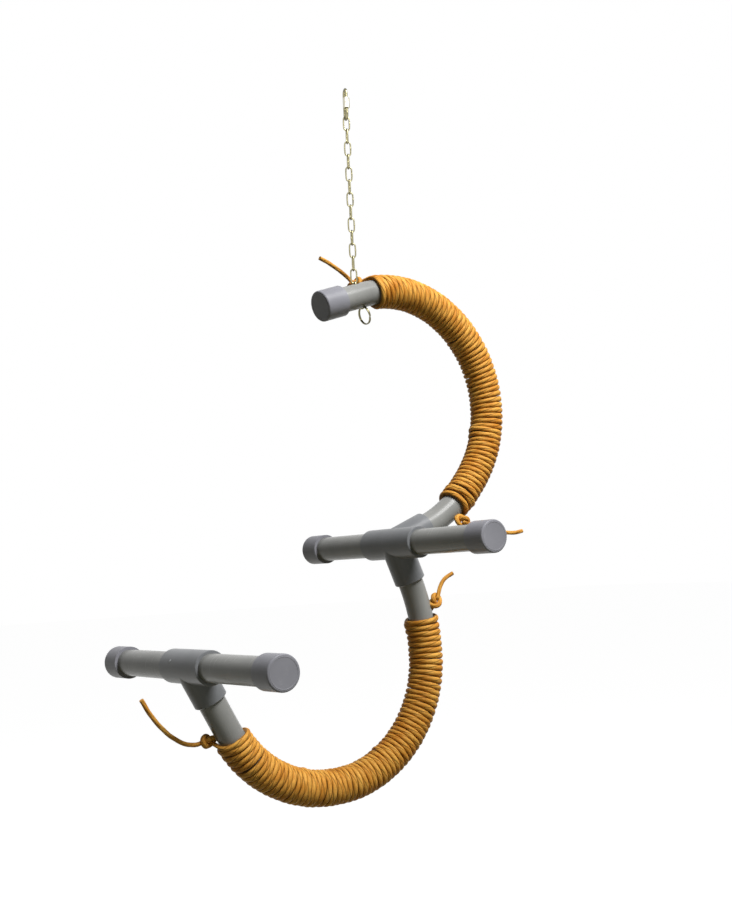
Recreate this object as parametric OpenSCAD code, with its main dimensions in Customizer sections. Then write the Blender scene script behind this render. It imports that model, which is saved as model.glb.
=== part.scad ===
/* [Pipe] */
// Outer diameter of every pipe
pipe_od = 33.4; // [31:0.1:35]
// Wall thickness of every pipe
pipe_wall = 3.4; // [2.4:0.1:4]
// Radial play between a pipe and its socket
socket_play = 0.15; // [0.1:0.05:0.3]
// Depth that a pipe goes into a fitting's socket
socket_depth = 28; // [22:1:32]

// Straight length between one bend of a pipe and the next
between_bends = 6; // [4:1:12]

/* [Upper arc] */
// Angle below the horizontal at which the top end of the pipe points
end_lean = 17.5; // [10:0.5:25]
// Length from the chain hole's axis to the face of the end cap
end_run = 65; // [58:1:80]
// Straight length between the chain hole's axis and the bend
bend_lead = 10; // [9:1:20]
// Radius of the upper arc's main bend
upper_bend_r = 155; // [140:1:170]
// Angle of the upper arc's main bend
upper_bend_angle = 145; // [135:1:150]
// Radius of the slack bend beside the middle fitting
upper_slack_r = 208; // [190:1:250]
// Angle of the slack bend beside the middle fitting
upper_slack_angle = 30; // [24:1:34]

/* [Lower arc] */
// Radius of the slack bend under the middle fitting
lower_slack_r = 259; // [230:1:300]
// Angle of the slack bend under the middle fitting
lower_slack_angle = 20; // [15:1:24]
// Radius of the lower arc's main bend
lower_bend_r = 151; // [140:1:165]
// Angle of the lower arc's main bend
lower_bend_angle = 92; // [86:1:96]
// Radius of the bend that rises to the lower perch
rise_bend_r = 164; // [150:1:180]
// Angle of the bend that rises to the lower perch
rise_bend_angle = 62; // [56:1:66]
// Straight length of the lower pipe before the tee's socket
rise_run = 44; // [36:1:60]

/* [Fittings] */
// Outer diameter of the fittings' sleeves
fitting_od = 41.2; // [40.6:0.1:44]
// Length from the middle fitting's centre to each of its mouths
cross_reach = 54; // [48:1:58]
// Length from the lower tee's centre to each of its mouths
tee_reach = 47; // [44:1:52]
// Chamfer round each mouth
mouth_chamfer = 0.8; // [0.4:0.1:1.4]

/* [Perches] */
// Overall length of the middle perch with its caps
middle_perch_length = 404; // [340:2:460]
// Overall length of the lower perch with its caps
lower_perch_length = 416; // [340:2:480]

/* [Caps] */
// Outer diameter of the end caps
cap_od = 40.8; // [40.2:0.1:43]
// Length of the end caps
cap_length = 34; // [30:1:40]
// Thickness of a cap's end wall
cap_end_wall = 4; // [3:0.5:6]
// Radius of the round edge of a cap's face
cap_edge_r = 2.2; // [1:0.1:3]

/* [Chain] */
// Wire diameter of the chain links
link_wire = 2; // [1.6:0.1:2.2]
// Length of the opening inside a link
link_inner_length = 17.6; // [17.2:0.1:18.4]
// Width of the opening inside a link
link_inner_width = 6; // [5.8:0.1:6.6]
// Play where two links meet
link_play = 0.3; // [0.2:0.05:0.5]
// Turn of the chain about its own line
chain_turn = 22; // [0:1:45]
// Diameter of the two holes that the chain passes through
chain_hole_d = 12.4; // [12:0.1:13.4]

/* [Quick link] */
// Wire diameter of the quick link
quick_wire = 4; // [3.6:0.1:4.4]
// Length of the opening inside the quick link
quick_inner_length = 36; // [34:0.5:44]
// Width of the opening inside the quick link
quick_inner_width = 8; // [7.6:0.1:10]
// Gap in the quick link's threaded leg
quick_gap = 5; // [4:0.5:6]
// Length of the sleeve nut
nut_length = 14; // [12:0.5:15]
// Width of the sleeve nut across its flats
nut_flats = 7.4; // [7:0.1:8]

/* [Split ring] */
// Outer diameter of the split ring
ring_od = 25; // [22:0.5:30]
// Wire diameter of one coil of the split ring
ring_wire = 1.6; // [1.4:0.1:1.8]
// Turn of the split ring away from square to the link
ring_turn = 20; // [0:1:25]
// Play between the split ring and the link's bow
ring_play = 0.5; // [0.4:0.05:0.6]
// Gap between the split ring and the edge of the hole that sits on it
ring_seat_gap = 0.4; // [0.3:0.05:0.6]

/* [Rope] */
// Diameter of the paper rope
rope_d = 5.6; // [5:0.1:6.2]
// Gap between the rope and the pipe
rope_play = 0.3; // [0.25:0.05:0.4]
// Loops that each winding shows
rope_loops = 24; // [16:1:24]
// Length from the chain hole's axis to the upper winding
upper_wound_start = 31; // [28:1:40]
// Length of pipe that the upper winding covers
upper_wound_length = 426; // [380:1:428]
// Length from the middle fitting's centre to the lower winding
lower_wound_start = 108; // [104:1:120]
// Length of pipe that the lower winding covers
lower_wound_length = 452; // [400:1:456]
// Length that the rope runs on beyond a winding's last loop
rope_lead = 5; // [4:1:8]
// Least length of bare pipe between a winding's last loop and the fitting after it
bare_end = 20; // [10:1:40]
// Diameter of the overhand knots
knot_d = 17; // [15:0.5:19]

/* [Hidden] */
FREE_LINKS = 13;
LINK_NAMES = [for (i = [1 : FREE_LINKS + 2]) str("chain_link_", i < 10 ? "0" : "", i)];

$fn = 48;
cut_over = 1;
pipe_id = pipe_od - 2 * pipe_wall;
socket_d = pipe_od + 2 * socket_play;
// Step in radius, and lap in length, where a straight stretch of a pipe goes into a bend
stretch_step = 0.05;
stretch_lap = 1;
// Gap left between a pipe's end and the wall behind it
seat_gap = 0.5;
// Play between the sleeve nut and the threaded leg
nut_play = 0.3;
// Length of thread that the closed nut holds beyond the gap
nut_grip = 1.4;
// Spread of the split ring's two coils, as a share of the wire
coil_spread_share = 0.44;
// Distance from a knot's centre to the faces that the rope enters, as a share of its radius
knot_face_share = 0.75;
// Gap between a knot's flats and the rope that meets them
knot_seat = 0.05;
// Turn of rope that each lead takes, as a share of one loop
lead_turn_share = 0.2;
// Share of a loop by which each winding stops short, so that its knot lies where it is seen
upper_short_share = 0.33;
lower_short_share = 0.4;
// Straight length of each winding's ends, which lifts the knots clear of the pipe
rope_exit = 12;
// Rings in one loop of rope, and the sides of a ring
rope_rings = 15;
rope_sides = 6;
tail_sides = 8;

function straight(l) = [l, 0, 0];
function bend(r, a) = [r * a * PI / 180, a, r];
function step(at, part, u) =
    part[1] == 0
        ? [at[0] + u * cos(at[2]), at[1] + u * sin(at[2]), at[2]]
        : let (t = part[1] * u / part[0], b = at[2] + 90)
          [at[0] + part[2] * (cos(b - t) - cos(b)),
           at[1] + part[2] * (sin(b - t) - sin(b)),
           at[2] - t];
function walk(at, run, s, i = 0) =
    i == len(run) - 1 || s <= run[i][0]
        ? step(at, run[i], s)
        : walk(step(at, run[i], run[i][0]), run, s - run[i][0], i + 1);
function run_length(run, i = 0) = i == len(run) ? 0 : run[i][0] + run_length(run, i + 1);
function run_before(run, i) = i == 0 ? 0 : run[i - 1][0] + run_before(run, i - 1);
function wound_reach(first, wound) = first + wound + rope_lead + bare_end;

link_pitch = link_inner_length - link_play;
link_centre_length = link_inner_length + link_wire;
quick_foot_z = -quick_inner_length - quick_wire / 2;
first_bow_z = quick_foot_z + quick_wire / 2 + link_wire / 2 + link_play;
first_link_z = first_bow_z - link_centre_length / 2;
pivot_z = first_link_z - (FREE_LINKS - 1) * link_pitch - link_centre_length / 2;
odd_turn = -chain_turn;
even_turn = 90 - chain_turn;

link_bow_r = (link_inner_width + link_wire) / 2;
lean_out = [-sin(end_lean), cos(end_lean)];
// The first link inside the pipe lies over the last free link's bow, leaned with the hole
lean_top = [0, pivot_z + link_bow_r] - (link_bow_r - link_wire - link_play) * lean_out;
ring_r = ring_od / 2 - ring_wire / 2;
// Depth of the ring's wire below the leaned links' start: two links, less what laps
ring_top_depth = link_centre_length + link_pitch - link_wire / 2 - ring_wire / 2 - ring_play;
// The ring's top rises into the hole until the hole's edge all but sits on it
ring_rise = pipe_od / 2 - sqrt(pow(pipe_od / 2, 2) - pow(chain_hole_d / 2, 2))
    + ring_od / 2 - sqrt(pow(ring_od / 2, 2) - pow(chain_hole_d / 2, 2)) - ring_seat_gap;
hole_drop = ring_top_depth - ring_wire / 2 - pipe_od / 2 + ring_rise;
hole_at = concat(lean_top - hole_drop * lean_out, [end_lean]);
upper_main_bend = bend(upper_bend_r, upper_bend_angle);
upper_slack_bend = bend(upper_slack_r, upper_slack_angle);
// The stretch between the upper bends is longer where the winding needs more pipe
upper_between = max(between_bends,
    wound_reach(upper_wound_start, upper_wound_length) - bend_lead - upper_main_bend[0] - upper_slack_bend[0]);
upper_run = [
    straight(bend_lead),
    upper_main_bend,
    straight(upper_between),
    upper_slack_bend,
    straight(cross_reach)];
cross_at = walk(hole_at, upper_run, run_length(upper_run));
upper_branch = cross_at[2] + 180;
lower_branch = cross_at[2] + 90;
lower_start = [cross_at[0], cross_at[1], lower_branch];
lower_bends = [
    bend(lower_slack_r, lower_slack_angle),
    straight(between_bends),
    bend(lower_bend_r, lower_bend_angle),
    straight(between_bends),
    bend(rise_bend_r, rise_bend_angle)];
// The rise to the tee is longer where the winding needs more pipe
lower_rise = max(rise_run,
    wound_reach(lower_wound_start, lower_wound_length) - cross_reach - run_length(lower_bends));
lower_run = concat([straight(cross_reach)], lower_bends, [straight(lower_rise + tee_reach)]);
tee_at = walk(lower_start, lower_run, run_length(lower_run));
end_back = end_run - cap_end_wall - seat_gap;

rope_half = rope_d / 2 * cos(180 / rope_sides);
rope_line_r = (pipe_od / 2 + rope_play + rope_half) / cos(180 / rope_rings);
knot_face = knot_d / 2 * knot_face_share;

// A way is [start, run, first place, length, hand, angle of the first loop's start, turns]
upper_way = [hole_at, upper_run, upper_wound_start, upper_wound_length, -1, -58,
             rope_loops - upper_short_share];
lower_way = [lower_start, lower_run, lower_wound_start, lower_wound_length, 1, 68,
             rope_loops - lower_short_share];

function unit(v) = v / norm(v);
function in_plane(at) = [at[0], 0, at[1]];
function outward(at) = [-sin(at[2]), 0, cos(at[2])];
function lead_part(way, w) = w < 0 ? -pow(w / lead_turn_share, 2)
    : w > way[6] ? pow((w - way[6]) / lead_turn_share, 2) : 0;
function rope_place(way, w) = way[2] + way[3] * w / way[6] + rope_lead * lead_part(way, w);
function rope_point(way, w) =
    let (at = walk(way[0], way[1], rope_place(way, w)), turn = way[5] + way[4] * 360 * w)
    in_plane(at) + rope_line_r * (cos(turn) * outward(at) + sin(turn) * [0, 1, 0]);
function rope_heading(way, w) =
    let (nudge_share = 0.01)
    unit(rope_point(way, w + nudge_share) - rope_point(way, w - nudge_share));
function rope_radial(way, w) =
    unit(rope_point(way, w) - in_plane(walk(way[0], way[1], rope_place(way, w))));
function ring(centre, heading, up, r, sides) =
    let (side = unit(cross(heading, up)), top = cross(side, heading))
    [for (k = [0 : sides - 1])
        let (a = 360 * (k + 0.5) / sides)
        centre + r * (cos(a) * top + sin(a) * side)];
function tube_faces(rings, sides) = concat(
    [for (i = [0 : rings - 2], k = [0 : sides - 1])
        let (a = i * sides + k, b = i * sides + (k + 1) % sides)
        [a, a + sides, b]],
    [for (i = [0 : rings - 2], k = [0 : sides - 1])
        let (a = i * sides + k, b = i * sides + (k + 1) % sides)
        [b, a + sides, b + sides]],
    [for (k = [1 : sides - 2]) [0, k, k + 1]],
    [for (k = [1 : sides - 2]) let (a = (rings - 1) * sides) [a, a + k + 1, a + k]]);

function rope_rings_of(way) =
    let (first = -lead_turn_share, last = way[6] + lead_turn_share, count = round((last - first) * rope_rings),
         t0 = rope_heading(way, first), t1 = rope_heading(way, last))
    concat(
        [ring(rope_point(way, first) - rope_exit * t0, t0, rope_radial(way, first), rope_d / 2, rope_sides)],
        [for (i = [0 : count])
            let (w = first + (last - first) * i / count)
            ring(rope_point(way, w), rope_heading(way, w), rope_radial(way, w), rope_d / 2, rope_sides)],
        [ring(rope_point(way, last) + rope_exit * t1, t1, rope_radial(way, last), rope_d / 2, rope_sides)]);
function flat_list(lists) = [for (l = lists) for (p = l) p];
function start_heading(way) = -rope_heading(way, -lead_turn_share);
function finish_heading(way) = rope_heading(way, way[6] + lead_turn_share);
function start_face(way) = rope_point(way, -lead_turn_share) + rope_exit * start_heading(way);
function finish_face(way) = rope_point(way, way[6] + lead_turn_share) + rope_exit * finish_heading(way);
function start_knot_at(way) = start_face(way) + knot_face * start_heading(way);
function finish_knot_at(way) = finish_face(way) + knot_face * finish_heading(way);

// Shortest way between loops of the tube, from ring to ring, less the rope's diameter
function least_gap(way) =
    let (count = round((way[6] + 2 * lead_turn_share) * rope_rings), near = floor(rope_rings / 2),
         points = [for (i = [0 : count]) rope_point(way, -lead_turn_share + i / rope_rings)])
    min([for (i = [0 : count - near], j = [i + near : min(count, i + 3 * near)])
            norm(points[i] - points[j])]) - rope_d;

// Route of each tail, from the middle of its knot. The first point lies on the knot's flat
upper_start_route = [[-4, 0.5, 5], [-12, 1.5, 15], [-24, 2, 24], [-38, 2, 30], [-54, 1, 32]];
upper_finish_route = [[6, -2, -2], [18, -6, -6], [32, -11, -11], [47, -15, -15], [62, -19, -18],
                      [76, -22, -20], [90, -24, -20]];
lower_start_route = [[3, 1, 6], [9, 3, 18], [17, 3, 29], [30, 0, 37]];
lower_finish_route = [[-6, -1, -1], [-18, -3, -3], [-33, -6, 0], [-49, -8, 9], [-64, -10, 22],
                      [-78, -11, 39], [-89, -12, 57]];

function route_heading(route, i) =
    unit(route[min(i + 1, len(route) - 1)] - route[max(i - 1, 0)]);
function tail_rings(knot_at, route) = [
    for (i = [0 : len(route) - 1])
        ring(knot_at + route[i], i == 0 ? unit(route[0]) : route_heading(route, i),
             [0, 1, 0], rope_d / 2, tail_sides)];

// Moves its children to a point, with their Z axis along a direction
module aim(at, way) {
    translate(at)
        rotate([0, acos(way[2] / norm(way)), atan2(way[1], way[0])])
            children();
}

// One round stretch of a run, lengthened before its start and after its end
module stretch(at, part, r, before, after) {
    if (part[1] == 0)
        translate(in_plane(at))
            rotate([0, 90 - at[2], 0])
                translate([0, 0, -before]) cylinder(r = r, h = part[0] + before + after);
    else {
        per_length = part[1] / part[0];
        translate(in_plane(at) - part[2] * outward(at))
            rotate([90, 0, 0])
                rotate([0, 0, at[2] + 90 - part[1] - after * per_length])
                    rotate_extrude(angle = part[1] + (before + after) * per_length)
                        translate([part[2], 0]) circle(r = r);
    }
}

// A straight stretch is a step thinner than a bend, and laps into the bends beside it
module along(at, run, r, over) {
    last = len(run) - 1;
    for (i = [0 : last]) {
        lap = run[i][1] == 0 ? stretch_lap : 0;
        stretch(walk(at, run, run_before(run, i)), run[i],
                run[i][1] == 0 ? r - stretch_step : r,
                i == 0 ? over : lap,
                i == last ? over : lap);
    }
}

// Bent pipe whose run starts and ends with a straight part
module bent_pipe(at, run) {
    color("#8f9095") difference() {
        along(at, run, pipe_od / 2, 0);
        along(at, run, pipe_id / 2, cut_over);
    }
}

module upper_arc_pipe() {
    back_at = concat([hole_at[0], hole_at[1]] - end_back * [cos(end_lean), sin(end_lean)], [end_lean]);
    run = [straight(end_back + bend_lead),
           upper_main_bend,
           straight(upper_between),
           upper_slack_bend,
           straight(socket_depth)];
    difference() {
        bent_pipe(back_at, run);
        aim(in_plane(hole_at), outward(hole_at))
            cylinder(d = chain_hole_d, h = pipe_od + 2 * cut_over, center = true);
    }
}

module lower_arc_pipe() {
    seat_at = walk(lower_start, lower_run, cross_reach - socket_depth);
    bent_pipe(seat_at,
              concat([straight(socket_depth)], lower_bends, [straight(lower_rise + socket_depth)]));
}

module sleeve(reach) {
    rotate_extrude() polygon([
        [0, 0],
        [fitting_od / 2, 0],
        [fitting_od / 2, reach - mouth_chamfer],
        [fitting_od / 2 - mouth_chamfer, reach],
        [0, reach]]);
}

module socket(reach) {
    cylinder(d = pipe_id, h = reach);
    translate([0, 0, reach - socket_depth - seat_gap])
        cylinder(d = socket_d, h = socket_depth + seat_gap + cut_over);
}

module fitting(at, arms, reach) {
    color("#85868c") difference() {
        for (arm = arms) aim(at, arm) sleeve(reach);
        for (arm = arms) aim(at, arm) socket(reach);
    }
}

module middle_fitting() {
    arms = [[0, 1, 0], [0, -1, 0],
            [cos(upper_branch), 0, sin(upper_branch)],
            [cos(lower_branch), 0, sin(lower_branch)]];
    fitting(in_plane(cross_at), arms, cross_reach);
}

module lower_tee() {
    arms = [[0, 1, 0], [0, -1, 0], -[cos(tee_at[2]), 0, sin(tee_at[2])]];
    fitting(in_plane(tee_at), arms, tee_reach);
}

// One half of a perch, on the side that the sign of side gives
module perch_pipe(at, side, reach, overall) {
    seat = reach - socket_depth;
    color("#8f9095")
        aim(in_plane(at), [0, side, 0])
            translate([0, 0, seat])
                linear_extrude(overall / 2 - cap_end_wall - seat_gap - seat)
                    difference() {
                        circle(d = pipe_od);
                        circle(d = pipe_id);
                    }
}

module cap(at, way) {
    color("#97979f") aim(at, way) difference() {
        rotate_extrude() {
            square([cap_od / 2 - cap_edge_r, cap_length]);
            square([cap_od / 2, cap_length - cap_edge_r]);
            translate([cap_od / 2 - cap_edge_r, cap_length - cap_edge_r]) circle(r = cap_edge_r);
        }
        translate([0, 0, -cut_over])
            cylinder(d = socket_d, h = cap_length - cap_end_wall + cut_over);
    }
}

module perch_cap(at, side, overall) {
    cap(in_plane(at) + [0, side * (overall / 2 - cap_length), 0], [0, side, 0]);
}

module top_end_cap() {
    cap(in_plane(hole_at) - (end_run - cap_length) * [cos(end_lean), 0, sin(end_lean)],
        -[cos(end_lean), 0, sin(end_lean)]);
}

// Half of a round bow, over the top of its centre
module bow(r, wire) {
    rotate([90, 0, 0])
        rotate_extrude(angle = 180)
            translate([r, 0]) circle(d = wire);
}

// Closed wire link in the XZ plane, round its own middle
module wire_link(inner_length, inner_width, wire) {
    r = (inner_width + wire) / 2;
    leg = inner_length - inner_width;
    for (side = [-1, 1]) {
        rotate([0, side * 90 - 90, 0]) translate([0, 0, leg / 2]) bow(r, wire);
        translate([side * r, 0, -leg / 2]) cylinder(d = wire, h = leg);
    }
}

// Links from the first one past the last free link lie in the pipe's hole, leaned with it
module chain_link(i) {
    turn = i % 2 == 1 ? odd_turn : even_turn;
    inside = i - FREE_LINKS;
    depth = link_centre_length / 2 + (inside - 1) * link_pitch;
    at = inside > 0
        ? in_plane(lean_top - depth * lean_out)
        : [0, 0, first_link_z - (i - 1) * link_pitch];
    color("#b3a468")
        translate(at)
            rotate([0, inside > 0 ? -end_lean : 0, 0])
                rotate([0, 0, turn])
                    wire_link(link_inner_length, link_inner_width, link_wire);
}

module quick_link() {
    leg_x = (quick_inner_width + quick_wire) / 2;
    gap_foot = nut_length / 2 - nut_grip - quick_gap;
    color("#b9ab74")
        translate([0, 0, -quick_inner_length / 2])
            rotate([0, 0, even_turn])
                difference() {
                    wire_link(quick_inner_length, quick_inner_width, quick_wire);
                    translate([-leg_x, 0, gap_foot]) cylinder(d = quick_wire + 2 * cut_over, h = quick_gap);
                }
}

module quick_link_nut() {
    leg_x = (quick_inner_width + quick_wire) / 2;
    color("#cfc9b0")
        translate([0, 0, -quick_inner_length / 2])
            rotate([0, 0, even_turn])
                translate([-leg_x, 0, 0])
                    difference() {
                        rotate([0, 0, 30])
                            cylinder(d = nut_flats / cos(30), h = nut_length, center = true, $fn = 6);
                        cylinder(d = quick_wire + 2 * nut_play, h = nut_length + 2 * cut_over, center = true);
                    }
}

module split_ring() {
    spread = coil_spread_share * ring_wire;
    color("#a89a63")
        translate(in_plane(lean_top - (ring_top_depth + ring_r) * lean_out))
            rotate([0, -end_lean, 0])
                rotate([0, 0, even_turn + ring_turn])
                    rotate([90, 0, 0])
                        rotate_extrude()
                            for (side = [-1, 1])
                                translate([ring_r, side * spread]) circle(d = ring_wire);
}

module rope_tube(rings, sides) {
    color("#c08a3c")
        polyhedron(points = flat_list(rings), faces = tube_faces(len(rings), sides));
}

// A ball that is flat where the winding's end meets it and where the tail leaves it
module knot(at, entry, route) {
    color("#b57f35") difference() {
        aim(at, entry) sphere(d = knot_d);
        aim(at + (knot_face - knot_seat) * entry, entry) cylinder(d = knot_d, h = knot_d);
        aim(at + (norm(route[0]) - knot_seat) * unit(route[0]), route[0]) cylinder(d = knot_d, h = knot_d);
    }
}

module upper_rope_winding() {
    rope_tube(rope_rings_of(upper_way), rope_sides);
}

module lower_rope_winding() {
    rope_tube(rope_rings_of(lower_way), rope_sides);
}

module upper_start_knot() {
    knot(start_knot_at(upper_way), -start_heading(upper_way), upper_start_route);
}

module upper_finish_knot() {
    knot(finish_knot_at(upper_way), -finish_heading(upper_way), upper_finish_route);
}

module lower_start_knot() {
    knot(start_knot_at(lower_way), -start_heading(lower_way), lower_start_route);
}

module lower_finish_knot() {
    knot(finish_knot_at(lower_way), -finish_heading(lower_way), lower_finish_route);
}

module upper_start_tail() {
    rope_tube(tail_rings(start_knot_at(upper_way), upper_start_route), tail_sides);
}

module upper_finish_tail() {
    rope_tube(tail_rings(finish_knot_at(upper_way), upper_finish_route), tail_sides);
}

module lower_start_tail() {
    rope_tube(tail_rings(start_knot_at(lower_way), lower_start_route), tail_sides);
}

module lower_finish_tail() {
    rope_tube(tail_rings(finish_knot_at(lower_way), lower_finish_route), tail_sides);
}

echo(upper_winding_least_gap = least_gap(upper_way), lower_winding_least_gap = least_gap(lower_way));

quick_link();
quick_link_nut();
for (i = [1 : FREE_LINKS + 2])
    chain_link(i);
split_ring();
upper_arc_pipe();
lower_arc_pipe();
middle_fitting();
lower_tee();
perch_pipe(cross_at, -1, cross_reach, middle_perch_length);  // middle_perch_near_pipe
perch_pipe(cross_at, 1, cross_reach, middle_perch_length);  // middle_perch_far_pipe
perch_pipe(tee_at, -1, tee_reach, lower_perch_length);  // lower_perch_near_pipe
perch_pipe(tee_at, 1, tee_reach, lower_perch_length);  // lower_perch_far_pipe
perch_cap(cross_at, -1, middle_perch_length);  // middle_perch_near_cap
perch_cap(cross_at, 1, middle_perch_length);  // middle_perch_far_cap
perch_cap(tee_at, -1, lower_perch_length);  // lower_perch_near_cap
perch_cap(tee_at, 1, lower_perch_length);  // lower_perch_far_cap
top_end_cap();
upper_rope_winding();
lower_rope_winding();
upper_start_knot();
upper_finish_knot();
lower_start_knot();
lower_finish_knot();
upper_start_tail();
upper_finish_tail();
lower_start_tail();
lower_finish_tail();
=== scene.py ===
"""Bird swing: two rope-wound arcs of plastic pipe with two perches, hung from a chain.

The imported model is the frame. Each operator adds one piece or one group of like pieces.
"""
import math
import random
from collections import namedtuple

import bmesh
import bpy
import numpy as np
from bpy.props import FloatProperty, FloatVectorProperty, IntProperty, PointerProperty
from bpy.types import Operator, Panel, PropertyGroup
from mathutils import Matrix, Vector


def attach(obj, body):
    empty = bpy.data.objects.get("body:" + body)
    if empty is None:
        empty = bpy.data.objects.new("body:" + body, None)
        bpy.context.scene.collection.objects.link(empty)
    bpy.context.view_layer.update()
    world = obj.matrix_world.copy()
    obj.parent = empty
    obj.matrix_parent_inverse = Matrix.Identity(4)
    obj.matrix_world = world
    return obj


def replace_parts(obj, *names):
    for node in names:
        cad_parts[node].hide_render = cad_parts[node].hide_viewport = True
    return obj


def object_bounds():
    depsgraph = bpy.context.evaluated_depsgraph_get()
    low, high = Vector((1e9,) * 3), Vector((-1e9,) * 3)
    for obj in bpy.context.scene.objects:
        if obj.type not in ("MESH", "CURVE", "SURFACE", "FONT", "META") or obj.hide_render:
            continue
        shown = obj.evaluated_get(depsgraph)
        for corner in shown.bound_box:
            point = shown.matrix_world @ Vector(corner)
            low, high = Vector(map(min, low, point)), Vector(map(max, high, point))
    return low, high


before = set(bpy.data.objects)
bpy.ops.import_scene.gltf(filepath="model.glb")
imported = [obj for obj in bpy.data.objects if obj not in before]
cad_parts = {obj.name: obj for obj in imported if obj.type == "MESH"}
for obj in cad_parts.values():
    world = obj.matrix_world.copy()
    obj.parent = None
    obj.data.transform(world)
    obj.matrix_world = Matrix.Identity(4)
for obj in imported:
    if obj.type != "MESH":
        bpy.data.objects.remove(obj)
CAD_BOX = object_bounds()

bl_info = {
    "name": "Bird swing",
    "version": (1, 0, 0),
    "blender": (4, 5, 0),
    "location": "3D View > Sidebar > Swing",
    "description": "Builds the looks of a rope-wound bird swing on its CAD frame",
    "category": "Object",
}

# The camera: the picture's size, focal length and axis in pixels, then angles in degrees
PICTURE_WIDE, PICTURE_HIGH = 732, 898
FOCAL = 1263.54
AXIS_X, AXIS_Y = 411.79, 469.43
SENSOR = 36.0
AZIMUTH, ELEVATION = -36.163, -1.143
ROLL, YAW, PITCH = -2.92, 0.905, 3.324
CAMERA_DISTANCE = 1.6796

# The pipe's runs. A stretch is (length, angle in degrees, radius)
Way = namedtuple("Way", "start run first length hand phase loops turns near far ridges seed")
MILLI = 0.001
PIPE_RADIUS = 0.0167
LEAD_TURN = 0.2
LEAD_LENGTH = 0.005
EXIT_LENGTH = 0.012
KNOT_FACE = 0.006375
CAD_LINE = 0.019859


def straight(length):
    return (length, 0.0, 0.0)


def bend(radius, angle):
    return (radius * math.radians(angle), angle, radius)


# Where the runs start: (x, z, heading in degrees)
HOLE = (0.00638685, -0.278156, 17.5)
CROSS = (0.0465418, -0.608303, -67.5)
UPPER_RUN = (straight(0.010), bend(0.155, 145), straight(0.006), bend(0.208, 30), straight(0.054))
LOWER_RUN = (straight(0.054), bend(0.259, 20), straight(0.006), bend(0.151, 92),
             straight(0.006), bend(0.164, 62), straight(0.091))

# Where a turn rides over its neighbour: (turn, spread in turns, shift along the pipe, lift)
UPPER_RIDGES = ((41.35, 0.16, -0.0022, 0.0020), (42.4, 0.16, -0.0010, 0.0010),
                (55.15, 0.22, 0.0048, 0.0030), (56.2, 0.2, -0.0022, 0.0016),
                (21.3, 0.12, 0.0016, 0.0008))
LOWER_RIDGES = ((1.05, 0.2, -0.0042, 0.0026), (2.1, 0.2, -0.0020, 0.0012),
                (27.2, 0.15, -0.0020, 0.0010), (44.3, 0.2, 0.0020, 0.0010))
# Where the last turns lean to the knot: (turns from the end, shift along the pipe)
END_SPREAD = ((0.84, 0.0030), (1.84, 0.0018), (2.84, 0.0009), (3.84, 0.0004))
WAYS = {
    "upper": Way(HOLE, UPPER_RUN, 0.031, 0.426, -1, -58.0, 23.67, 57.67, 0.0265, 0.4580,
                 UPPER_RIDGES, 11),
    "lower": Way(CROSS, LOWER_RUN, 0.108, 0.452, 1, 68.0, 23.6, 59.6, 0.1070, 0.5640,
                 LOWER_RIDGES, 29),
}

# Each tail's route from the middle of its knot, in millimetres
TAILS = {
    "upper_start": ((-4.5, 0.5, 4.5), (-14, 1, 12.5), (-26, 1.5, 20), (-40, 1.5, 27), (-54, 1, 32)),
    "upper_finish": ((6, -2, -2), (18, -6, -6), (32, -11, -11), (47, -15, -15), (62, -19, -18),
                     (76, -22, -19), (90, -24, -17)),
    "lower_start": ((3, 1, 6), (9, 3, 18), (17, 3, 29), (30, 0, 37)),
    "lower_finish": ((-6, -1, -1), (-18, -3, -3), (-33, -6, 0), (-49, -8, 9), (-64, -10, 22),
                     (-78, -11, 39), (-89, -12, 57)),
}

# The chain hangs straight down, then leans with the pipe inside its hole
LINK_PITCH = 0.0173
FIRST_LINK = -0.0445
FREE_LINKS = 13
INNER_LINKS = 2
ODD_TURN = math.radians(-22)
EVEN_TURN = math.radians(68)
LEAN = math.radians(17.5)
LEAN_TOP = Vector((0.0005112, 0.0, -0.259521))
LEAN_OUT = Vector((-math.sin(LEAN), 0.0, math.cos(LEAN)))
RING_WIRE, RING_RADIUS, RING_DROP = 0.00158, 0.0117, 0.0346

# The quick link's leg and nut. A thread is (name, lowest, highest), from the nut's middle
LEG_ASIDE, LEG_DOWN = 0.006, 0.018
THREADS = (("upper_thread", 0.0058, 0.0086), ("lower_thread", -0.0070, 0.0004))
THREAD_RADIUS, THREAD_PITCH, THREAD_WIRE = 0.00195, 0.0008, 0.0005
NUT_BORE = 0.0023

# Moulded marks: profiles of (radius, height) that close on themselves
CAP_RING = ((0.0165, -0.0002), (0.0167, 0.00012), (0.0170, 0.0002), (0.0173, 0.0002),
            (0.0176, 0.00012), (0.0178, -0.0002))
GATE = ((0.0, -0.0004), (0.0017, -0.0004), (0.0015, 0.0002), (0.0010, 0.0003), (0.0, 0.00025))
TEE = Vector((-0.2575799, 0.0, -0.7439251))
TEE_RADIUS, GATE_ASIDE, GATE_RISE = 0.0206, 0.020, math.radians(22)


def step(at, part, u):
    """Place and heading at a distance u along one stretch."""
    x, z, heading = at
    length, angle, radius = part
    if angle == 0.0:
        h = math.radians(heading)
        return (x + u * math.cos(h), z + u * math.sin(h), heading)
    t = angle * u / length
    b = math.radians(heading + 90)
    c = math.radians(heading + 90 - t)
    return (x + radius * (math.cos(c) - math.cos(b)),
            z + radius * (math.sin(c) - math.sin(b)),
            heading - t)


def walk(at, run, place):
    for part in run[:-1]:
        if place <= part[0]:
            return step(at, part, place)
        at = step(at, part, part[0])
        place -= part[0]
    return step(at, run[-1], place)


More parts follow.
